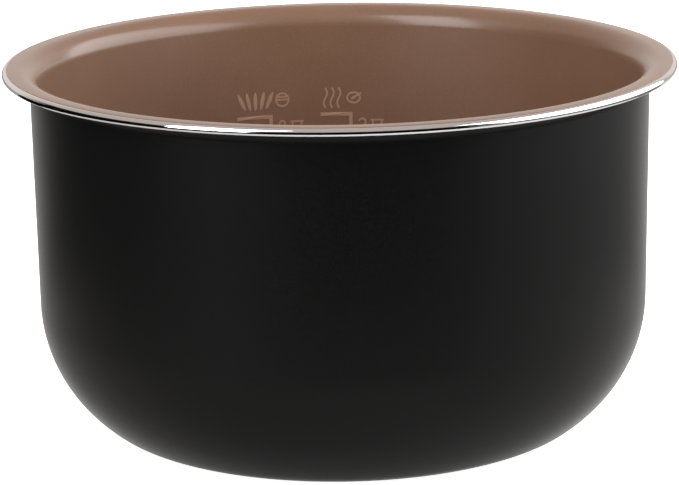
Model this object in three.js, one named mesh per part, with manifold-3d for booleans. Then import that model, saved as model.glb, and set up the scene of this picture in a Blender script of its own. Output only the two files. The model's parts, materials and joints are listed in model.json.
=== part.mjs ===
// Lift-out inner pot of an electric rice or pressure cooker: a drawn aluminium bowl with a flared
// rim and a polished round edge, a non-stick lining, a dark outer coat and a printed level scale.
// Millimetres, +Z up. The origin is on the axis, in the plane the pot stands on.
// +Y points at the stretch of wall that carries the scale.
import * as THREE from "three";
import { mergeVertices } from "three/addons/utils/BufferGeometryUtils.js";
import Module from "manifold-3d";

// ---- Driving dimensions -------------------------------------------------------------------
const HEIGHT = 136; // standing plane to the top of the flange
const BODY_RADIUS = 112.5; // outside of the bare wall, just under the flange bend
const FLANGE_REACH = 10; // from there out to the outside of the round edge
const SHEET = 3; // drawn aluminium, the same all over
const TAPER = THREE.MathUtils.degToRad(0.7); // the wall leans in by this much towards the base
const BEND_RADIUS = 4.5; // under the flange, where the wall turns outwards
const SIDE_RADIUS = 55; // large arc from the wall down towards the base
const KNEE_RADIUS = 23; // smaller arc that runs out into the base
const BASE_INSET = 37; // from the body radius in to the edge of the flat base

const RING_HEIGHT = 0.5; // bare turned ring that the pot stands on
const RING_WIDTH = 8;
const RING_EDGE = 1.5; // from the edge of the flat base in to the ring
const DISH_DEPTH = 0.6; // the middle of the base is dished upwards
const DISH_FLAT_RADIUS = 25;

const COAT = 0.1; // thickness of each coat
const COAT_GAP = 0.02; // clearance between the metal and a coat
const COAT_STOP = 0.1; // a coat ends this far short of the bare edge or ring

const PRINT = 0.1; // thickness of the printed ink
const PRINT_GAP = 0.05; // clearance between the lining and the ink
const STROKE = 0.7; // numerals and pictograms
const HEADING_BELOW_RIM = 36.3; // middle of the row of pictograms above each scale
const HEADING_HEIGHT = 8.8;
const SIGN_EDGE = 2; // from the end of the level line in to the first sign
const GRAIN_LENGTH = 7.4;
const GRAIN_WIDTH = 1.6;
const GRAIN_PITCH = 2.9; // from one rice grain sign to the next
const GRAIN_LEAN = 12; // degrees that each one leans from its neighbour
const STEAM_PITCH = 2.7;
const BOWL_RADIUS = 2.6; // middle of the ring that stands for a bowl
const LEVEL_BELOW_RIM = 42.9; // highest level line
const LINE_WIDTH = 1.4; // level lines and the spine that joins them
const DIGIT_HEIGHT = 5.5;
const DIGIT_WIDTH = 3.4;
const DIGIT_DROP = 1.6; // from a level line down to the top of its numeral
const DIGIT_SPACE = 2.2; // from the spine to the side of a numeral
const CUP_SPACE = 2; // from a numeral to the measuring cup sign beside it
const CUP_HEIGHT = 4.6;
const CUP_TOP_WIDTH = 3.9;
const CUP_FOOT_WIDTH = 2.7;

const SIDES = 60; // flat sides round the pot
const STRIP = 2.5; // longest straight step along a level line

// ---- The two scales -------------------------------------------------------------------------
// spine: its angle round the wall, from +Y towards +X; line: length of a numbered level line;
// lowest: height of the lowest line above the standing plane; short: length of an unnumbered line
// as a share of a numbered one; labels: from the highest line down; bowl: from the spine to the
// middle of the bowl sign.
const degrees = THREE.MathUtils.degToRad;
const RICE = {
  name: "rice",
  spine: degrees(-8.1),
  line: 14.8,
  lowest: 31.7,
  short: 0.6,
  labels: [8, null, 6, null, 4, null, 2],
  bowl: 4.1,
};
const PORRIDGE = {
  name: "porridge",
  spine: degrees(8.8),
  line: 12.8,
  lowest: 46.7,
  short: 0.6,
  labels: [2, null, 1, null],
  bowl: 0.5,
};

const aluminium = new THREE.MeshStandardMaterial({ color: 0xd9dadb, roughness: 0.12, metalness: 1 });
const lining = new THREE.MeshStandardMaterial({ color: 0x7a5a48, roughness: 0.4, metalness: 0.2 });
const blackCoat = new THREE.MeshStandardMaterial({ color: 0x161616, roughness: 0.45, metalness: 0 });
const ink = new THREE.MeshStandardMaterial({ color: 0x96786a, roughness: 0.5, metalness: 0 });

// ---- Section of the bare metal, worked out as tangent arcs ----------------------------------
const flangeTop = HEIGHT - COAT - COAT_GAP;
const edge = { r: BODY_RADIUS + FLANGE_REACH - SHEET / 2, z: flangeTop - SHEET / 2 };
const bendZ = flangeTop - SHEET - BEND_RADIUS;
const bend = { r: BODY_RADIUS + BEND_RADIUS / Math.cos(TAPER), z: bendZ };
const baseRadius = BODY_RADIUS - BASE_INSET;
const knee = { r: baseRadius, z: RING_HEIGHT + KNEE_RADIUS };
const side = sideArcCentre();
const kneeTurn = Math.atan2(knee.z - side.z, knee.r - side.r); // where the two arcs meet
const ringOuter = baseRadius - RING_EDGE;
const ringInner = ringOuter - RING_WIDTH;

// The side arc touches the leaning wall line and, from outside, the knee arc.
function sideArcCentre() {
  const lean = Math.tan(TAPER);
  const reach = SIDE_RADIUS - KNEE_RADIUS;
  const wallAtKnee = BODY_RADIUS - (bendZ - knee.z) * lean;
  const across = wallAtKnee - SIDE_RADIUS / Math.cos(TAPER) - knee.r;
  const a = 1 + lean * lean;
  const b = across * lean;
  const rise = (-b + Math.sqrt(b * b - a * (across * across - reach * reach))) / a;
  return { r: across + knee.r + rise * lean, z: knee.z + rise };
}

// Points of an arc round a centre, both ends included.
function arc(centre, radius, from, to, steps) {
  return Array.from({ length: steps + 1 }, (_, i) => {
    const turn = from + ((to - from) * i) / steps;
    return new THREE.Vector2(centre.r + radius * Math.cos(turn), centre.z + radius * Math.sin(turn));
  });
}

// Outside of the wall from the flat base up to the underside of the round edge, moved out by "out".
function outerSkin(out) {
  return [
    ...arc(knee, KNEE_RADIUS + out, -Math.PI / 2, kneeTurn, 4),
    ...arc(side, SIDE_RADIUS + out, kneeTurn, -TAPER, 6).slice(1),
    ...arc(bend, BEND_RADIUS - out, Math.PI - TAPER, Math.PI / 2, 4),
  ];
}

// Inside of the wall from the flange down to the flat floor, moved into the bowl by "out".
function innerSkin(out) {
  return [
    ...arc(bend, BEND_RADIUS + SHEET + out, Math.PI / 2, Math.PI - TAPER, 5),
    ...arc(side, SIDE_RADIUS - SHEET - out, -TAPER, kneeTurn, 6),
    ...arc(knee, KNEE_RADIUS - SHEET - out, kneeTurn, -Math.PI / 2, 4).slice(1),
  ];
}

// The gently dished middle of the base, from the standing ring to the axis.
function dish(height) {
  return [
    new THREE.Vector2(ringInner, height),
    new THREE.Vector2(DISH_FLAT_RADIUS, height + DISH_DEPTH),
    new THREE.Vector2(0, height + DISH_DEPTH),
  ];
}

// A closed profile turned about Z.
function turned(profile) {
  return new THREE.LatheGeometry(profile, SIDES).rotateX(Math.PI / 2);
}

function shellGeometry() {
  const standingRing = [
    new THREE.Vector2(ringInner, 0),
    new THREE.Vector2(ringOuter, 0),
    new THREE.Vector2(ringOuter, RING_HEIGHT),
  ];
  return turned([
    ...dish(RING_HEIGHT).reverse(),
    ...standingRing,
    ...outerSkin(0),
    ...arc(edge, SHEET / 2, -Math.PI / 2, Math.PI / 2, 8),
    ...innerSkin(0),
    ...dish(RING_HEIGHT + SHEET),
  ]);
}

function liningGeometry() {
  const top = COAT_GAP + COAT;
  const end = edge.r - COAT_STOP;
  return turned([
    ...dish(RING_HEIGHT + SHEET + COAT_GAP).reverse(),
    ...innerSkin(COAT_GAP).reverse(),
    new THREE.Vector2(end, flangeTop + COAT_GAP),
    new THREE.Vector2(end, flangeTop + top),
    ...innerSkin(top),
    ...dish(RING_HEIGHT + SHEET + top),
  ]);
}

function outerCoatGeometry() {
  const top = COAT_GAP + COAT;
  const end = edge.r - COAT_STOP;
  const start = ringOuter + COAT_STOP;
  const under = flangeTop - SHEET;
  const profile = [
    new THREE.Vector2(start, RING_HEIGHT - top),
    ...outerSkin(top),
    new THREE.Vector2(end, under - top),
    new THREE.Vector2(end, under - COAT_GAP),
    ...outerSkin(COAT_GAP).reverse(),
    new THREE.Vector2(start, RING_HEIGHT - COAT_GAP),
  ];
  return turned([...profile, profile[0].clone()]);
}

function baseCoatGeometry() {
  const end = ringInner - COAT_STOP;
  const slope = DISH_DEPTH / (ringInner - DISH_FLAT_RADIUS);
  const face = (height) => [
    new THREE.Vector2(0, height + DISH_DEPTH),
    new THREE.Vector2(DISH_FLAT_RADIUS, height + DISH_DEPTH),
    new THREE.Vector2(end, height + COAT_STOP * slope),
  ];
  return turned([
    ...face(RING_HEIGHT - COAT_GAP - COAT),
    ...face(RING_HEIGHT - COAT_GAP).reverse(),
  ]);
}

// ---- Printed marks: drawn flat, then laid on the lining -------------------------------------
const wasm = await Module();
wasm.setup();
const liningFace = innerSkin(COAT_GAP + COAT);
const scaleRadius = BODY_RADIUS - SHEET;

// Radius of the lining's flat-sided face at a height and an angle.
function faceRadius(height, angle) {
  const below = liningFace.findIndex((p) => p.y <= height);
  const low = liningFace[below];
  const high = liningFace[below - 1];
  const radius = THREE.MathUtils.mapLinear(height, low.y, high.y, low.x, high.x);
  const halfSide = Math.PI / SIDES;
  const offMiddle = THREE.MathUtils.euclideanModulo(angle, 2 * halfSide) - halfSide;
  return (radius * Math.cos(halfSide)) / Math.cos(offMiddle);
}

// Flat x is along the wall from "angle", y is height above the standing plane, z is off the wall.
function laidOnWall(geometry, angle) {
  const at = geometry.getAttribute("position");
  for (let i = 0; i < at.count; i++) {
    const turn = angle + at.getX(i) / scaleRadius;
    const radius = faceRadius(at.getY(i), turn) - PRINT_GAP - at.getZ(i);
    at.setXYZ(i, radius * Math.sin(turn), radius * Math.cos(turn), at.getY(i));
  }
  geometry.computeVertexNormals();
  return geometry;
}

function inkPlate(shape) {
  return new THREE.ExtrudeGeometry(shape, { depth: PRINT, bevelEnabled: false, curveSegments: 10 });
}

// Outline on one side of a line of points, half a stroke away.
function offsetSide(points, distance) {
  return points.map((p, i) => {
    const before = points[Math.max(i - 1, 0)];
    const after = points[Math.min(i + 1, points.length - 1)];
    const along = after.clone().sub(before).normalize();
    return new THREE.Vector2(p.x - along.y * distance, p.y + along.x * distance);
  });
}

function openStroke(points) {
  const right = offsetSide(points, -STROKE / 2);
  const left = offsetSide(points, STROKE / 2);
  return inkPlate(new THREE.Shape([...right, ...left.reverse()]));
}

// A ring of ink, round or oval, about the point x, y.
function ringStroke(x, y, across, up = across) {
  const edge = (Kind, grow, inwards) =>
    new Kind().absellipse(x, y, across + grow, up + grow, 0, 2 * Math.PI, inwards);
  const shape = edge(THREE.Shape, STROKE / 2, false);
  shape.holes.push(edge(THREE.Path, -STROKE / 2, true));
  return inkPlate(shape);
}

// Joins flat strokes into one plate.
function joined(geometries) {
  const solids = geometries.map((geometry) => {
    const bare = geometry.clone().deleteAttribute("normal").deleteAttribute("uv");
    const merged = mergeVertices(bare, 1e-4);
    return new wasm.Manifold(
      new wasm.Mesh({
        numProp: 3,
        vertProperties: merged.attributes.position.array,
        triVerts: new Uint32Array(merged.index.array),
      }),
    );
  });
  const mesh = solids.reduce((sum, solid) => sum.add(solid)).getMesh();
  return new THREE.BufferGeometry()
    .setAttribute("position", new THREE.BufferAttribute(new Float32Array(mesh.vertProperties), 3))
    .setIndex(new THREE.BufferAttribute(new Uint32Array(mesh.triVerts), 1));
}

const point = (x, y) => new THREE.Vector2(x, y);
const curved = (x, y, rx, ry, from, to) =>
  new THREE.EllipseCurve(x, y, rx, ry, degrees(from), degrees(to), to < from).getPoints(8);

// Numerals, each about x = 0 with its foot at y = 0.
const half = (DIGIT_WIDTH - STROKE) / 2;
const tall = DIGIT_HEIGHT - STROKE;
const upperHalf = half * 0.85; // the upper ring of an 8 is smaller
const DIGITS = {
  1: () => [
    openStroke([point(0, 0), point(0, tall + STROKE / 2)]),
    openStroke([point(-half, tall - half), point(0, tall + STROKE / 6)]),
  ],
  2: () => [
    openStroke([...curved(0, tall - half, half, half, 165, -35), point(-half, STROKE / 3)]),
    openStroke([point(-half - STROKE / 4, 0), point(half + STROKE / 2, 0)]),
  ],
  4: () => [
    openStroke([point(half / 3, -STROKE / 2), point(half / 3, tall + STROKE / 2)]),
    openStroke([point(half / 3, tall), point(-half, tall / 4)]),
    openStroke([point(-half - STROKE / 4, tall / 4), point(half + STROKE / 2, tall / 4)]),
  ],
  6: () => [
    ringStroke(0, half, half),
    openStroke(curved(half, half, 2 * half, tall - half, 180, 95)),
  ],
  8: () => [ringStroke(0, half, half), ringStroke(0, tall - upperHalf, upperHalf)],
};

// A full bowl of rice: a ring, with two lines across it for the rim of the bowl.
function riceBowlSign() {
  const across = (y) => {
    const reach = Math.sqrt(BOWL_RADIUS ** 2 - y ** 2);
    return openStroke([point(-reach, y), point(reach, y)]);
  };
  return [ringStroke(0, 0, BOWL_RADIUS), across(0), across(BOWL_RADIUS * 0.45)];
}

// A bowl of porridge from above: an oval ring, with a spoon that rests across its edge.
function porridgeBowlSign() {
  const up = BOWL_RADIUS * 0.8;
  const scoop = inkPlate(grainShape(BOWL_RADIUS, STROKE * 1.5, degrees(-60)));
  const handle = openStroke([point(0, 0), point(BOWL_RADIUS * 1.2, up * 0.9)]);
  return [ringStroke(0, 0, BOWL_RADIUS, up), scoop, handle];
}

// An upright grain, leaning by an angle.
function grainShape(length, width, lean) {
  return new THREE.Shape().absellipse(0, 0, width / 2, length / 2, 0, 2 * Math.PI, false, lean);
}

function grainSign(lean) {
  return [inkPlate(grainShape(GRAIN_LENGTH, GRAIN_WIDTH, lean))];
}

// A measuring cup: a tapered beaker with its top edge drawn longer, as a lip.
function cupSign() {
  const top = (CUP_HEIGHT - STROKE) / 2;
  const wide = CUP_TOP_WIDTH / 2;
  const foot = CUP_FOOT_WIDTH / 2;
  const sides = [point(-wide, top), point(-foot, -top), point(foot, -top), point(wide, top)];
  return [openStroke(sides), openStroke([point(-wide - STROKE, top), point(wide + STROKE, top)])];
}

// A rising wisp of steam: one full wave.
function waveSign() {
  const reach = (HEADING_HEIGHT - STROKE) / 2;
  const points = Array.from({ length: 13 }, (_, i) => {
    const share = i / 6 - 1;
    return point(Math.sin(share * Math.PI) * STROKE, share * reach);
  });
  return [openStroke(points)];
}

// Evenly spaced values from one number to another, no more than a strip apart.
function evenly(from, to) {
  const steps = Math.ceil(Math.abs(to - from) / STRIP);
  return Array.from({ length: steps + 1 }, (_, k) => from + ((to - from) * k) / steps);
}

// Height of each level line, from the highest down.
function levels({ lowest, labels }) {
  const top = HEIGHT - LEVEL_BELOW_RIM;
  return labels.map((_, i) => THREE.MathUtils.lerp(top, lowest, i / (labels.length - 1)));
}

// A comb: a spine on the right with a level line out to the left at each level.
function ladder(kind) {
  const { line, short, labels } = kind;
  const heights = levels(kind);
  const outline = [];
  heights.forEach((height, i) => {
    const reach = labels[i] === null ? line * short : line;
    const above = evenly(-LINE_WIDTH, -reach).map((x) => point(x, height + LINE_WIDTH / 2));
    const below = evenly(-reach, -LINE_WIDTH).map((x) => point(x, height - LINE_WIDTH / 2));
    outline.push(...above, ...below);
  });
  const foot = heights.at(-1) - LINE_WIDTH / 2;
  const back = evenly(foot, heights[0] + LINE_WIDTH / 2).map((y) => point(0, y));
  return inkPlate(new THREE.Shape([...outline, ...back]));
}

// ---- The assembly ---------------------------------------------------------------------------
function piece(name, geometry, material) {
  const mesh = new THREE.Mesh(geometry, material);
  mesh.name = name;
  return mesh;
}

function mark(name, plates, angle, height) {
  const flat = (plates.length > 1 ? joined(plates) : plates[0]).translate(0, height, 0);
  return piece(name, laidOnWall(flat, angle), ink);
}

function scale(group, kind) {
  const { name, spine, labels } = kind;
  const toNumeral = (DIGIT_SPACE + DIGIT_WIDTH / 2) / scaleRadius;
  group.add(piece(`${name}_level_lines`, laidOnWall(ladder(kind), spine), ink));
  levels(kind).forEach((height, i) => {
    if (labels[i] === null) return;
    const foot = height - DIGIT_DROP - DIGIT_HEIGHT + STROKE / 2;
    group.add(mark(`${name}_numeral_${labels[i]}`, DIGITS[labels[i]](), spine + toNumeral, foot));
  });
  const toCup = toNumeral + (DIGIT_WIDTH / 2 + CUP_SPACE + CUP_HEIGHT / 2) / scaleRadius;
  const cupMiddle = levels(kind)[0] - DIGIT_DROP - DIGIT_HEIGHT / 2;
  group.add(mark(`${name}_cup_sign`, cupSign(), spine + toCup, cupMiddle));
  return group;
}

// Pictograms above a scale: small signs over its highest line, then a bowl.
function heading(group, { name, spine, line, bowl }, signs, pitch, bowlSign) {
  const height = HEIGHT - HEADING_BELOW_RIM;
  const start = spine - (line - SIGN_EDGE) / scaleRadius;
  signs.forEach(([sign, plates], i) => {
    group.add(mark(`${name}_${sign}`, plates, start + (i * pitch) / scaleRadius, height));
  });
  group.add(mark(`${name}_bowl_sign`, bowlSign, spine + bowl / scaleRadius, height));
  return group;
}

function riceHeading(group) {
  const lean = (n) => degrees(GRAIN_LEAN * (3 - n));
  const signs = [1, 2, 3, 4, 5].map((n) => [`grain_sign_${n}`, grainSign(lean(n))]);
  return heading(group, RICE, signs, GRAIN_PITCH, riceBowlSign());
}

function porridgeHeading(group) {
  const signs = [1, 2, 3].map((n) => [`steam_sign_${n}`, waveSign()]);
  return heading(group, PORRIDGE, signs, STEAM_PITCH, porridgeBowlSign());
}

const pot = new THREE.Group();
pot.add(piece("aluminium_shell", shellGeometry(), aluminium));
pot.add(piece("inner_nonstick_coat", liningGeometry(), lining));
pot.add(piece("outer_black_coat", outerCoatGeometry(), blackCoat));
pot.add(piece("base_centre_coat", baseCoatGeometry(), blackCoat));
pot.add(riceHeading(scale(new THREE.Group(), RICE)));
pot.add(porridgeHeading(scale(new THREE.Group(), PORRIDGE)));

export default pot;
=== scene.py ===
# %% [markdown]
# # Inner pot of an electric cooker
#
# This is the bowl that lifts out of an electric rice or pressure cooker. A press draws it from one
# round blank of aluminium, a lathe spins its rim outwards and polishes the bare edge, and two
# sprayed and baked coats cover the rest: a brown non-stick lining inside and a satin black coat
# outside. A level scale is printed on the lining.
#
# Nearly everything here is turned round one upright axis, so the lesson has one main idea: draw
# half of the section well, from arcs that meet smoothly, and spin it.

# %% The frame
import json
import math

import bmesh
import bpy
import numpy as np
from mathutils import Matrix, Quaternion, Vector


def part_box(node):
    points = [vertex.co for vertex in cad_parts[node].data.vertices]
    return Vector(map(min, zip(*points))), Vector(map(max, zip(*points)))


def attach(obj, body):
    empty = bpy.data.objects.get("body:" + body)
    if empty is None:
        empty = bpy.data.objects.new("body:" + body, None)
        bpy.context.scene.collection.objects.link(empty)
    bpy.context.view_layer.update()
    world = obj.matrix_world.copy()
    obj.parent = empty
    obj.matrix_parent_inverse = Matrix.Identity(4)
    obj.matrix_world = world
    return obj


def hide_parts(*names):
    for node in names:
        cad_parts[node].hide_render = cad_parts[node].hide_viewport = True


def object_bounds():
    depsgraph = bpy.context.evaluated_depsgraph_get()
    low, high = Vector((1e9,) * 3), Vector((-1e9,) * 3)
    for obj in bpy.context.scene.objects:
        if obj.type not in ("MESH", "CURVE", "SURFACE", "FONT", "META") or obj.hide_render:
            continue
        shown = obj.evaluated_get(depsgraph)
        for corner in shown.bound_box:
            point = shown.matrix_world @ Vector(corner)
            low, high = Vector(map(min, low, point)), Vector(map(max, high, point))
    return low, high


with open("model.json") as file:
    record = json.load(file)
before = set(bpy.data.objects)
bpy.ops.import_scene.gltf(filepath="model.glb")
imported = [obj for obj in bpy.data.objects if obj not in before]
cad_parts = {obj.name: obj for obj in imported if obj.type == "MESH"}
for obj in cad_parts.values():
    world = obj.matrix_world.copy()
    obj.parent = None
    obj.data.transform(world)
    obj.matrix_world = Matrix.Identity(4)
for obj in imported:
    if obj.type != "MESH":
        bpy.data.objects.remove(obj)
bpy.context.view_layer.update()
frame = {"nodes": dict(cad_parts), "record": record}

# %% [markdown]
# ## Sizes
#
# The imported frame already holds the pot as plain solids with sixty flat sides. Its overall sizes
# are read from there. The radii of the bends are the maker's own sizes, so they are named here, in
# millimetres, and a later cell measures how well the finer section passes through the frame's
# corners.

# %% Sizes read from the frame
MM = 0.001


def highest_corner(node):
    """The corner of a node's box with the greatest X, Y and Z, in millimetres."""
    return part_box(node)[1] / MM


shell_high = highest_corner("aluminium_shell")
lining_high = highest_corner("inner_nonstick_coat")
outer_high = highest_corner("outer_black_coat")
centre_high = highest_corner("base_centre_coat")

rim_radius = shell_high.x
flange_top = shell_high.z
print(f"rim radius {rim_radius:.2f} mm, flange top {flange_top:.2f} mm")

# %% Sizes of the drawn sheet
SHEET = 3.0  # aluminium, before the coats
FLANGE_REACH = 10.0  # from the upright wall out to the edge
TAPER = math.radians(0.7)  # the wall leans in towards the base
BEND_RADIUS = 4.5  # under the flange
SIDE_RADIUS = 55.0  # from the wall down into the corner
KNEE_RADIUS = 23.0  # from the corner out into the flat base
BASE_INSET = 37.0  # from the wall in to the edge of the flat base
RING_HEIGHT = 0.5  # bare turned ring that the pot stands on
RING_WIDTH = 8.0
RING_EDGE = 1.5  # from the edge of the flat base in to the ring
DISH_DEPTH = 0.6  # the middle of the base is dished upwards
DISH_FLAT_RADIUS = 25.0

body_radius = rim_radius - FLANGE_REACH
coat_top = lining_high.z - flange_top  # outside of a coat, from the metal
coat_gap = 0.02  # inside of a coat, from the metal
coat_stop = 0.1  # from the bare ring to the edge of the black coat
ring_outer = body_radius - BASE_INSET - RING_EDGE
ring_inner = ring_outer - RING_WIDTH
print(f"wall radius {body_radius:.2f} mm, coats end {coat_top:.2f} mm off the metal")

# %% [markdown]
# ## The section
#
# A pressed bowl has no corners: each bend is an arc, and each arc leaves the last one in the same
# direction. Going down from the flange there is a small bend, the wall, one wide arc and one
# tighter arc that runs out into the flat base. The wide arc has to touch both the leaning wall and
# the tighter arc, and that fixes where its centre is. A freehand curve or a bevel could look
# similar, but the reflections in a satin coat show at once where two curves only nearly meet.

# %% Centres of the arcs
bend = Vector((body_radius + BEND_RADIUS / math.cos(TAPER), flange_top - SHEET - BEND_RADIUS))
knee = Vector((body_radius - BASE_INSET, RING_HEIGHT + KNEE_RADIUS))
edge = Vector((rim_radius - SHEET / 2, flange_top - SHEET / 2))


def side_centre():
    """Centre of the arc that touches the wall line and the knee arc."""
    lean = math.tan(TAPER)
    reach = SIDE_RADIUS - KNEE_RADIUS
    wall_at_knee = body_radius - (bend.y - knee.y) * lean
    across = wall_at_knee - SIDE_RADIUS / math.cos(TAPER) - knee.x
    a = 1 + lean * lean
    b = across * lean
    rise = (-b + math.sqrt(b * b - a * (across * across - reach * reach))) / a
    return Vector((knee.x + across + rise * lean, knee.y + rise))


side = side_centre()
knee_turn = math.atan2(knee.y - side.y, knee.x - side.x)
print(f"side arc centre {side.x:.1f}, {side.y:.1f} mm")
print(f"the knee arc begins at {math.degrees(knee_turn):.1f} degrees")

# %% Arcs and straight runs as points
ARC_STEP = math.radians(3)
EDGE_STEP = math.radians(6)
COAT_END_STEP = math.radians(30)
UP, DOWN = math.pi / 2, -math.pi / 2


def arc(centre, radius, start, end, step=ARC_STEP):
    """Points on an arc, both ends included."""
    count = max(2, math.ceil(abs(end - start) / step)) + 1
    turns = np.linspace(start, end, count)
    return [(centre.x + radius * math.cos(t), centre.y + radius * math.sin(t)) for t in turns]


def outer_skin(out):
    """Outside of the bowl from the flat base up to the flange, moved outwards."""
    return (
        arc(knee, KNEE_RADIUS + out, DOWN, knee_turn)
        + arc(side, SIDE_RADIUS + out, knee_turn, -TAPER)[1:]
        + arc(bend, BEND_RADIUS - out, math.pi - TAPER, UP)
    )


def inner_skin(out):
    """Inside of the bowl from the flat floor up to the flange, moved into the bowl."""
    return (
        arc(knee, KNEE_RADIUS - SHEET - out, DOWN, knee_turn)
        + arc(side, SIDE_RADIUS - SHEET - out, knee_turn, -TAPER)[1:]
        + arc(bend, BEND_RADIUS + SHEET + out, math.pi - TAPER, UP)
    )


def dish(height, radius=ring_inner):
    """The gently dished middle of the base, from the axis out to a radius."""
    slope = DISH_DEPTH / (ring_inner - DISH_FLAT_RADIUS)
    middle = height + DISH_DEPTH
    outside = height + (ring_inner - radius) * slope
    return [(0, middle), (DISH_FLAT_RADIUS, middle), (radius, outside)]


print(len(outer_skin(0)), "points up the outside,", len(inner_skin(0)), "up the inside")

# %% [markdown]
# ## Spinning a section
#
# Blender's Screw modifier or the Spin tool would turn a section too. Making the rings of points
# directly keeps the seam closed, gives one clean quad per step, and lets the sharp edges be marked
# from the angle between faces, so the arcs shade smoothly and the cut edges of the coats stay
# crisp.

# %% A closed solid turned from a section
AROUND = 288  # steps round the pot: less than 0.01 mm off the true circle
SHARP = math.radians(30)


def turned(name, section):
    """A solid of revolution. The section is closed, or starts and ends on the axis."""
    made = bmesh.new()
    turns = np.arange(AROUND) * 2 * math.pi / AROUND
    rings = []
    for radius, height in section:
        if radius == 0:
            rings.append([made.verts.new((0, 0, height * MM))] * AROUND)
            continue
        ring = [(radius * MM * math.cos(t), radius * MM * math.sin(t), height * MM) for t in turns]
        rings.append([made.verts.new(place) for place in ring])
    if section[0][0] > 0:
        rings.append(rings[0])
    for low, high in zip(rings, rings[1:]):
        for i in range(AROUND):
            j = (i + 1) % AROUND
            corners = dict.fromkeys((low[i], low[j], high[j], high[i]))
            made.faces.new(list(corners))
    bmesh.ops.recalc_face_normals(made, faces=made.faces)
    mesh = bpy.data.meshes.new(name)
    made.to_mesh(mesh)
    made.free()
    mesh.shade_smooth()
    mesh.set_sharp_from_angle(angle=SHARP)
    piece = bpy.data.objects.new(name, mesh)
    bpy.context.scene.collection.objects.link(piece)
    size = [round(v / MM, 2) for v in piece.dimensions]
    print(f"{name}: {len(mesh.polygons)} faces, {size} mm")
    return piece


def stands_for(piece, node):
    """The piece rides on the pot and hides a frame solid."""
    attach(piece, "root")
    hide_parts(node)
    return piece


# %% [markdown]
# ## The aluminium shell
#
# Only two places of the metal stay bare. The edge of the flange is turned to a full round and
# polished, so no sharp edge meets a hand, and a narrow ring under the base is turned flat so that
# heat passes from the heating plate. The coats hide the rest, but it is modelled all the same:
# it is what the coats lie on.

# %% The shell
standing_ring = [
    (ring_inner, RING_HEIGHT),
    (ring_inner, 0),
    (ring_outer, 0),
    (ring_outer, RING_HEIGHT),
]
shell_section = (
    dish(RING_HEIGHT)[:-1]
    + standing_ring
    + outer_skin(0)
    + arc(edge, SHEET / 2, DOWN, UP, EDGE_STEP)
    + inner_skin(0)[::-1]
    + dish(RING_HEIGHT + SHEET)[::-1]
)
shell = turned("drawn_shell", shell_section)
stands_for(shell, "aluminium_shell")

# %% [markdown]
# ## The coats
#
# A coat is a thin skin with a soft, rounded end where the painter's mask was. Each one is the same
# section moved off the metal twice, once for its inside and once for its outside, and joined by a
# half round at each end.

# %% Ends of a coat
def coat_end(radius, inside, outside):
    """A half round that closes a coat, pointing outwards along the flange."""
    half = abs(outside - inside) / 2
    middle = Vector((radius - half, (inside + outside) / 2))
    turn = math.copysign(UP, outside - inside)
    return arc(middle, half, -turn, turn, COAT_END_STEP)


# %% The brown lining
floor_inside = dish(RING_HEIGHT + SHEET + coat_gap)
floor_outside = dish(RING_HEIGHT + SHEET + coat_top)
lining = turned(
    "brown_lining",
    floor_inside
    + inner_skin(coat_gap)
    + coat_end(lining_high.x, flange_top + coat_gap, flange_top + coat_top)
    + inner_skin(coat_top)[::-1]
    + floor_outside[::-1],
)
stands_for(lining, "inner_nonstick_coat")

# %% The black outer coat
flange_under = flange_top - SHEET
coat_foot = ring_outer + coat_stop
outer_coat = turned(
    "black_outer_coat",
    [(coat_foot, RING_HEIGHT - coat_top)]
    + outer_skin(coat_top)
    + coat_end(outer_high.x, flange_under - coat_gap, flange_under - coat_top)[::-1]
    + outer_skin(coat_gap)[::-1]
    + [(coat_foot, RING_HEIGHT - coat_gap)],
)
stands_for(outer_coat, "outer_black_coat")

# %% The coat in the middle of the base
centre_face = dish(RING_HEIGHT - coat_top, centre_high.x)
centre_back = dish(RING_HEIGHT - coat_gap, centre_high.x)
centre_coat = turned("black_base_centre", centre_face + centre_back[::-1])
stands_for(centre_coat, "base_centre_coat")

# %% [markdown]
# ## How well the fine section follows the frame
#
# The frame's corners lie on the true curves, so the finer section should pass through each of
# them. This measures it: the greatest distance from a corner of the frame's section to the nearest
# run of the new one.

# %% Distance from the frame's corners
def section_points(obj, tolerance=1e-5):
    """Radius and height of the points that lie on the +X side of the section."""
    at = np.array([v.co[:] for v in obj.data.vertices])
    on = (np.abs(at[:, 1]) < tolerance) & (at[:, 0] > -tolerance)
    return at[on][:, [0, 2]] / MM


def greatest_miss(corners, section):
    """Greatest distance from the corners to the runs between the section's points."""
    order = np.array(section + section[:1])
    starts, runs = order[:-1], np.diff(order, axis=0)
    length = np.maximum((runs**2).sum(1), 1e-12)
    misses = []
    for corner in corners:
        share = np.clip(((corner - starts) * runs).sum(1) / length, 0, 1)
        misses.append(np.min(np.linalg.norm(corner - starts - share[:, None] * runs, axis=1)))
    return max(misses)


miss = greatest_miss(section_points(frame["nodes"]["aluminium_shell"]), shell_section)
print(f"greatest miss from the frame's corners: {miss:.3f} mm")

# %% [markdown]
# ## The printed scale
#
# A soft rubber pad prints each mark as one thin patch of ink. The frame has these patches as flat
# solids laid on its flat-sided wall. The wall is now truly round, so each patch is laid on it
# again: every point moves outwards by the small distance between a flat side and the circle.

# %% Ink laid on the round wall
SIDES = 60  # flat sides of the frame's wall
half_side = math.pi / SIDES


def on_round_wall(place):
    """Moves a point from over a flat side to over the circle round it."""
    off_middle = math.atan2(place.y, place.x) % (2 * half_side) - half_side
    stretch = math.cos(off_middle) / math.cos(half_side)
    return Vector((place.x * stretch, place.y * stretch, place.z))


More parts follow.
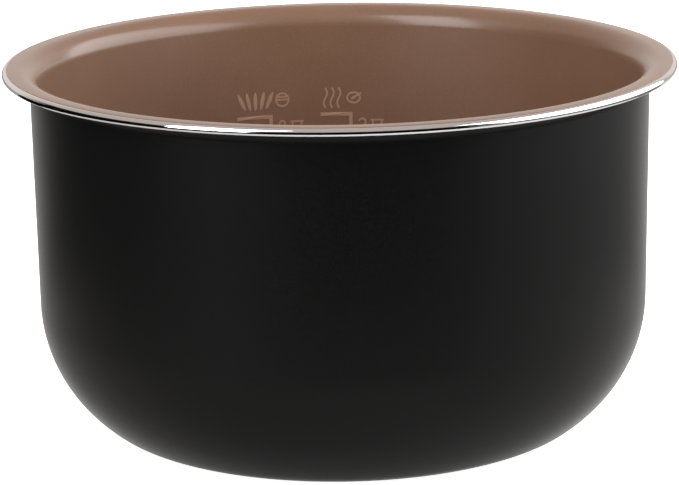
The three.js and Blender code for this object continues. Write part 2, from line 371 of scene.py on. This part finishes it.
marks = []
slots = {part["node"]: part["material_slot"] for part in frame["record"]["subparts"]}
for node in sorted(name for name, slot in slots.items() if slot == "ink"):
    mesh = frame["nodes"][node].data.copy()
    for vertex in mesh.vertices:
        vertex.co = on_round_wall(vertex.co)
    mesh.shade_flat()
    mesh.materials.clear()
    ink_patch = bpy.data.objects.new(f"printed_{node}", mesh)
    bpy.context.scene.collection.objects.link(ink_patch)
    marks.append(stands_for(ink_patch, node))
print(len(marks), "printed marks")

# %% [markdown]
# ## Colours and nodes
#
# Colours are picked as sRGB hex values, the way a paint chart or a picture editor gives them, and
# turned to the linear values that light adds up in. One helper adds a node and links it, so that
# each material below reads as a list of what affects what.

# %% Colour and node helpers
def linear(hex_code):
    """An sRGB hex colour as linear RGBA."""
    parts = [int(hex_code[i : i + 2], 16) / 255 for i in (1, 3, 5)]
    return (*[p / 12.92 if p <= 0.04045 else ((p + 0.055) / 1.055) ** 2.4 for p in parts], 1.0)


def add(tree, kind, settings=None, **inputs):
    """Adds a node. An input is named in words with _ for a space and is a value or a socket."""
    node = tree.nodes.new(kind)
    for key, value in (settings or {}).items():
        setattr(node, key, value)
    for key, value in inputs.items():
        socket = node.inputs[int(key[1:]) if key[0] == "_" else key.replace("_", " ")]
        if isinstance(value, bpy.types.NodeSocket):
            tree.links.new(value, socket)
        else:
            socket.default_value = value
    return node


def new_material(name, **shader_values):
    """A material with one Principled shader, and the pot's own coordinates in metres."""
    material = bpy.data.materials.new(name)
    material.use_nodes = True
    tree = material.node_tree
    tree.nodes.clear()
    shader = add(tree, "ShaderNodeBsdfPrincipled", **shader_values)
    add(tree, "ShaderNodeOutputMaterial", Surface=shader.outputs["BSDF"])
    place = add(tree, "ShaderNodeTexCoord").outputs["Object"]
    return material, tree, shader, place


def per_metre(millimetres):
    """Texture scale for a pattern that repeats over this many millimetres."""
    return 1 / (millimetres * MM)


# %% [markdown]
# ## Polished aluminium
#
# The bare edge is turned on a lathe and then polished. It mirrors the studio, but very fine lines
# still run round the pot, because the tool went round. They come from a noise that is read only by
# distance from the axis and by height, so it can't vary along the rim. Real lines are a few
# hundredths of a millimetre apart, too fine to show, so they are drawn at 0.15 mm. The ring under
# the base is turned and never polished, so it is rougher.

# %% Polished and turned aluminium
GROOVE = 0.15
TURNED_ROUGHNESS, POLISHED_ROUGHNESS = 0.34, 0.05
aluminium, tree, shader, place = new_material(
    "turned_polished_aluminium", Base_Color=linear("#e9eaeb"), Metallic=1.0
)
axes = add(tree, "ShaderNodeSeparateXYZ", Vector=place).outputs
flat_place = add(tree, "ShaderNodeCombineXYZ", X=axes["X"], Y=axes["Y"], Z=0.0)
from_axis = add(tree, "ShaderNodeVectorMath", {"operation": "LENGTH"}, _0=flat_place.outputs[0])
round_place = add(tree, "ShaderNodeCombineXYZ", X=from_axis.outputs["Value"], Y=0.0, Z=axes["Z"])
grooves = add(
    tree, "ShaderNodeTexNoise", Vector=round_place.outputs[0], Scale=per_metre(GROOVE), Detail=2.0
)
turned_bump = add(
    tree, "ShaderNodeBump", Strength=0.03, Distance=0.002 * MM, Height=grooves.outputs["Fac"]
)
polish = add(
    tree,
    "ShaderNodeMapRange",
    Value=axes["Z"],
    From_Min=MM,
    From_Max=2 * MM,
    To_Min=TURNED_ROUGHNESS,
    To_Max=POLISHED_ROUGHNESS,
)
tree.links.new(polish.outputs["Result"], shader.inputs["Roughness"])
tree.links.new(turned_bump.outputs["Normal"], shader.inputs["Normal"])
shell.data.materials.append(aluminium)

# %% [markdown]
# ## The brown non-stick lining
#
# The lining is a fluoropolymer, sprayed and baked at about 400 degrees. Its low refractive index,
# about 1.38, keeps the shine soft. Powdered mica in it gives fine pearly specks, and the spray
# leaves a faint orange peel about 1.6 mm across. A speck is about 0.05 mm across, and is drawn at
# 0.3 mm so that it shows. The brown itself clouds a little, about every 35 mm.

# %% Baked fluoropolymer with mica
MICA, ORANGE_PEEL, CLOUD = 0.3, 1.6, 35
lining_paint, tree, shader, place = new_material(
    "baked_mica_fluoropolymer", IOR=1.38, Coat_Weight=1.0, Coat_IOR=1.38, Coat_Roughness=0.2
)
specks = add(tree, "ShaderNodeTexVoronoi", Vector=place, Scale=per_metre(MICA))
speck_value = add(tree, "ShaderNodeSeparateColor", Color=specks.outputs["Color"]).outputs["Red"]
clouds = add(tree, "ShaderNodeTexNoise", Vector=place, Scale=per_metre(CLOUD), Detail=2.0)
mocha = add(tree, "ShaderNodeValToRGB", Fac=clouds.outputs["Fac"])
mocha.color_ramp.elements[0].position, mocha.color_ramp.elements[1].position = 0.35, 0.65
mocha.color_ramp.elements[0].color = linear("#735543")
mocha.color_ramp.elements[1].color = linear("#775947")
sparkle = add(tree, "ShaderNodeMapRange", Value=speck_value, From_Min=0.55, To_Max=0.06)
pearl = add(
    tree,
    "ShaderNodeMix",
    {"data_type": "RGBA"},
    _0=sparkle.outputs["Result"],
    _6=mocha.outputs["Color"],
    _7=linear("#c6a592"),
)
satin = add(tree, "ShaderNodeMapRange", Value=speck_value, To_Min=0.42, To_Max=0.5)
peel = add(tree, "ShaderNodeTexNoise", Vector=place, Scale=per_metre(ORANGE_PEEL), Detail=1.0)
peel_bump = add(
    tree, "ShaderNodeBump", Strength=0.3, Distance=0.01 * MM, Height=peel.outputs["Fac"]
)
tree.links.new(pearl.outputs[2], shader.inputs["Base Color"])
tree.links.new(satin.outputs["Result"], shader.inputs["Roughness"])
tree.links.new(peel_bump.outputs["Normal"], shader.inputs["Normal"])
lining.data.materials.append(lining_paint)

# %% [markdown]
# ## The black outer coat
#
# The outside is a heat-resistant black paint with a fine, dry texture. Seen square on, it hardly
# mirrors anything, so the specular level is low. Seen at a slant, its fine grains stand up and
# catch the light, which greys the paint towards its limbs: a light sheen gives that. Its grain is
# about 0.2 mm, drawn at 0.5 mm.

# %% Heat-resistant black paint
GRAIN = 0.5
black_paint, tree, shader, place = new_material(
    "heat_resistant_black_paint",
    IOR=1.4,
    Specular_IOR_Level=0.18,
    Sheen_Weight=0.3,
    Sheen_Roughness=0.25,
)
spray = add(tree, "ShaderNodeTexNoise", Vector=place, Scale=per_metre(GRAIN), Detail=3.0)
soot = add(tree, "ShaderNodeValToRGB", Fac=spray.outputs["Fac"])
soot.color_ramp.elements[0].position, soot.color_ramp.elements[1].position = 0.3, 0.7
soot.color_ramp.elements[0].color = linear("#040404")
soot.color_ramp.elements[1].color = linear("#0a0a0a")
dry = add(
    tree,
    "ShaderNodeMapRange",
    Value=spray.outputs["Fac"],
    From_Min=0.3,
    From_Max=0.7,
    To_Min=0.36,
    To_Max=0.44,
)
grain_bump = add(
    tree, "ShaderNodeBump", Strength=0.3, Distance=0.01 * MM, Height=spray.outputs["Fac"]
)
tree.links.new(soot.outputs["Color"], shader.inputs["Base Color"])
tree.links.new(dry.outputs["Result"], shader.inputs["Roughness"])
tree.links.new(grain_bump.outputs["Normal"], shader.inputs["Normal"])
for piece in (outer_coat, centre_coat):
    piece.data.materials.append(black_paint)

# %% [markdown]
# ## Pad-printed ink
#
# The ink is the lining's own polymer with more white in it, so the marks are only a little paler
# than the wall and just as soft. A pad leaves pinholes and slightly uneven ink, which show as
# faint mottling at about 0.6 mm.

# %% Pale brown ink
MOTTLE = 0.6
ink, tree, shader, place = new_material("pad_printed_ink", IOR=1.38, Roughness=0.5)
mottling = add(tree, "ShaderNodeTexNoise", Vector=place, Scale=per_metre(MOTTLE), Detail=2.0)
pale = add(tree, "ShaderNodeValToRGB", Fac=mottling.outputs["Fac"])
pale.color_ramp.elements[0].position, pale.color_ramp.elements[1].position = 0.3, 0.6
pale.color_ramp.elements[0].color = linear("#997864")
pale.color_ramp.elements[1].color = linear("#a3826e")
tree.links.new(pale.outputs["Color"], shader.inputs["Base Color"])
for ink_patch in marks:
    ink_patch.data.materials.append(ink)

# %% [markdown]
# ## The camera
#
# The pot is seen from a little above its rim through a long lens, which keeps the wall nearly
# straight. The scale is a little to the left of the middle, so the camera stands round to one side
# of the pot's own front.

# %% A long lens from a little above
CAMERA_DISTANCE = 1.2  # from the middle of the rim
CAMERA_SIDE = math.radians(-6.2)  # round from the pot's own front
CAMERA_RISE = math.radians(10.75)
AIM_BELOW = math.radians(3.19)  # aimed below the rim, at the middle of the pot
AIM_LEFT = math.radians(0.05)
CAMERA_ROLL = math.radians(-0.95)

low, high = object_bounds()
rim_middle = Vector((0, 0, high.z))


def outwards(azimuth, elevation):
    """Direction from the pot, by angle round from its front and angle above the horizon."""
    flat = math.cos(elevation)
    return Vector((math.sin(azimuth) * flat, -math.cos(azimuth) * flat, math.sin(elevation)))


camera_data = bpy.data.cameras.new("studio_camera")
camera_data.sensor_width = 36.0
camera_data.lens = 174.5
camera = bpy.data.objects.new("studio_camera", camera_data)
bpy.context.scene.collection.objects.link(camera)
bpy.context.scene.camera = camera
camera.location = rim_middle + outwards(CAMERA_SIDE, CAMERA_RISE) * CAMERA_DISTANCE
looking = -outwards(CAMERA_SIDE + AIM_LEFT, CAMERA_RISE + AIM_BELOW)
camera.rotation_mode = "QUATERNION"
roll = Quaternion((0, 0, 1), CAMERA_ROLL)
camera.rotation_quaternion = looking.to_track_quat("-Z", "Y") @ roll
camera_data.clip_start, camera_data.clip_end = 0.05, 40.0
print("camera at", [round(v, 3) for v in camera.location])

# %% [markdown]
# ## The studio
#
# The floor is a plain white sheet, lit from below as on a light table, so that no shadow lies on
# it. A polished edge and a black coat show only what they reflect, so most of the studio is there
# to be reflected. Black, dark grey and pale grey cards lie round the pot and draw the dark line on
# the edge and keep the black coat dark. In a real studio they would be held just out of view.
# Here each is hidden from the camera and casts no shadow, and shows in reflections only.

# %% The floor
FLOOR_HALF = 15.0
FLOOR_BELOW = 0.0002  # the pot's own foot stays clear of the sheet
FLOOR_GLOW = 1.0


def flat_sheet(name, points, faces, height, colour, glow=0.0):
    """A plain sheet that lies flat, with a matt paper finish, lit from below if it has a glow."""
    mesh = bpy.data.meshes.new(name)
    mesh.from_pydata([(p.x, p.y, 0) for p in points], [], faces)
    sheet = bpy.data.objects.new(name, mesh)
    bpy.context.scene.collection.objects.link(sheet)
    sheet.location.z = height
    paper = new_material(
        f"{name}_paper",
        Base_Color=linear(colour),
        Roughness=0.9,
        Specular_IOR_Level=0.0,
        Emission_Color=linear(colour),
        Emission_Strength=glow,
    )[0]
    mesh.materials.append(paper)
    return sheet


corners = [Vector((x, y)) * FLOOR_HALF for x, y in ((-1, -1), (1, -1), (1, 1), (-1, 1))]
flat_sheet("studio_floor", corners, [(0, 1, 2, 3)], low.z - FLOOR_BELOW, "#f7f7f7", FLOOR_GLOW)
print(f"floor {2 * FLOOR_HALF:.0f} m across, {FLOOR_BELOW / MM} mm below the pot")

# %% Cards for the reflections
CARD_MIDDLE, CARD_NEAR, CARD_FAR = 0.08, 0.26, 14.0  # radii round the pot
CARD_HEIGHT = 0.001
CARD_STEP = 5  # degrees


def round_card(name, near, far, from_turn, to_turn, colour):
    """Part of a ring that lies round the pot and shows only in reflections."""
    turns = [CAMERA_SIDE + math.radians(t) for t in range(from_turn, to_turn + 1, CARD_STEP)]
    edges = [outwards(t, 0) * near for t in turns] + [outwards(t, 0) * far for t in turns]
    count = len(turns)
    bands = [(i, i + 1, count + i + 1, count + i) for i in range(count - 1)]
    card = flat_sheet(name, edges, bands, low.z + CARD_HEIGHT, colour)
    card.visible_camera = card.visible_diffuse = card.visible_shadow = False


round_card("black_card", CARD_NEAR, CARD_FAR, -130, 40, "#030303")
round_card("dark_grey_card", CARD_NEAR, CARD_FAR, 40, 130, "#606060")
round_card("grey_card_behind", CARD_NEAR, CARD_FAR, 130, 230, "#acacac")
round_card("pale_grey_card", CARD_MIDDLE, CARD_NEAR, -180, 180, "#d4d4d4")
print("cards from", CARD_MIDDLE, "to", CARD_FAR, "m")

# %% [markdown]
# ## The room
#
# The room is a world shader, read by the direction that a ray leaves in. In front it is unlit up
# to about 20 degrees above the horizon, and behind the pot a pale sweep comes down to the floor.
# The ceiling is pale and a little warm. The camera itself sees plain white.

# %% Unlit in front, pale behind and above
CEILING, UNLIT, SWEEP = linear("#c0b4ac"), linear("#080808"), linear("#e6dcd5")
world = bpy.data.worlds.new("studio_room")
bpy.context.scene.world = world
world.use_nodes = True
tree = world.node_tree
tree.nodes.clear()
way = add(tree, "ShaderNodeTexCoord").outputs["Generated"]
way_axes = add(tree, "ShaderNodeSeparateXYZ", Vector=way).outputs
front = add(tree, "ShaderNodeMapRange", Value=way_axes["Z"], From_Min=0.28, From_Max=0.42)
behind = add(tree, "ShaderNodeMapRange", Value=way_axes["Z"], From_Min=0.3, From_Max=0.7)
backness = add(tree, "ShaderNodeMapRange", Value=way_axes["Y"], From_Min=0.5, From_Max=0.8)
mix_rgb = {"data_type": "RGBA"}
front_room = add(tree, "ShaderNodeMix", mix_rgb, _0=front.outputs[0], _6=UNLIT, _7=CEILING)
back_room = add(tree, "ShaderNodeMix", mix_rgb, _0=behind.outputs[0], _6=SWEEP, _7=CEILING)
room = add(
    tree,
    "ShaderNodeMix",
    mix_rgb,
    _0=backness.outputs[0],
    _6=front_room.outputs[2],
    _7=back_room.outputs[2],
)
seen = add(tree, "ShaderNodeLightPath").outputs["Is Camera Ray"]
shown = add(tree, "ShaderNodeMix", mix_rgb, _0=seen, _6=room.outputs[2], _7=linear("#fafafa"))
sky = add(tree, "ShaderNodeBackground", Color=shown.outputs[2], Strength=1.0)
add(tree, "ShaderNodeOutputWorld", Surface=sky.outputs[0])

# %% [markdown]
# ## The lamps
#
# A tall softbox on the left and a wide one on the right draw the white bars along the polished
# edge and the two soft streaks on the lining. A weak, wide light from the front lifts the far wall
# inside. It is left out of reflections, so it draws no bar of its own.

# %% Softboxes
def softbox(name, azimuth, elevation, distance, width, height, watts):
    """A rectangular lamp that faces the pot."""
    data = bpy.data.lights.new(name, "AREA")
    data.shape = "RECTANGLE"
    data.size, data.size_y, data.energy = width, height, watts
    lamp = bpy.data.objects.new(name, data)
    bpy.context.scene.collection.objects.link(lamp)
    away = outwards(CAMERA_SIDE + math.radians(azimuth), math.radians(elevation))
    lamp.location = rim_middle + away * distance
    lamp.rotation_mode = "QUATERNION"
    lamp.rotation_quaternion = (-away).to_track_quat("-Z", "Y")
    return lamp


softbox("tall_softbox_left", -43, 27, 1.6, 0.85, 1.9, 28)
softbox("wide_softbox_right", 92, 21, 1.0, 1.85, 1.05, 22)

# %% Front fill
fill_light = bpy.data.lights.new("front_fill", "SUN")
fill_light.energy = 0.12
fill_light.angle = math.radians(30)
fill_lamp = bpy.data.objects.new("front_fill", fill_light)
bpy.context.scene.collection.objects.link(fill_lamp)
from_front = outwards(CAMERA_SIDE + math.radians(22), math.radians(15))
fill_lamp.rotation_mode = "QUATERNION"
fill_lamp.rotation_quaternion = (-from_front).to_track_quat("-Z", "Y")
fill_lamp.visible_glossy = False

lamps = [thing.name for thing in bpy.data.objects if thing.type == "LIGHT"]
print("lamps:", lamps)

# %% Colours as they are, with no film curve
bpy.context.scene.view_settings.view_transform = "Standard"
bpy.context.scene.view_settings.look = "None"
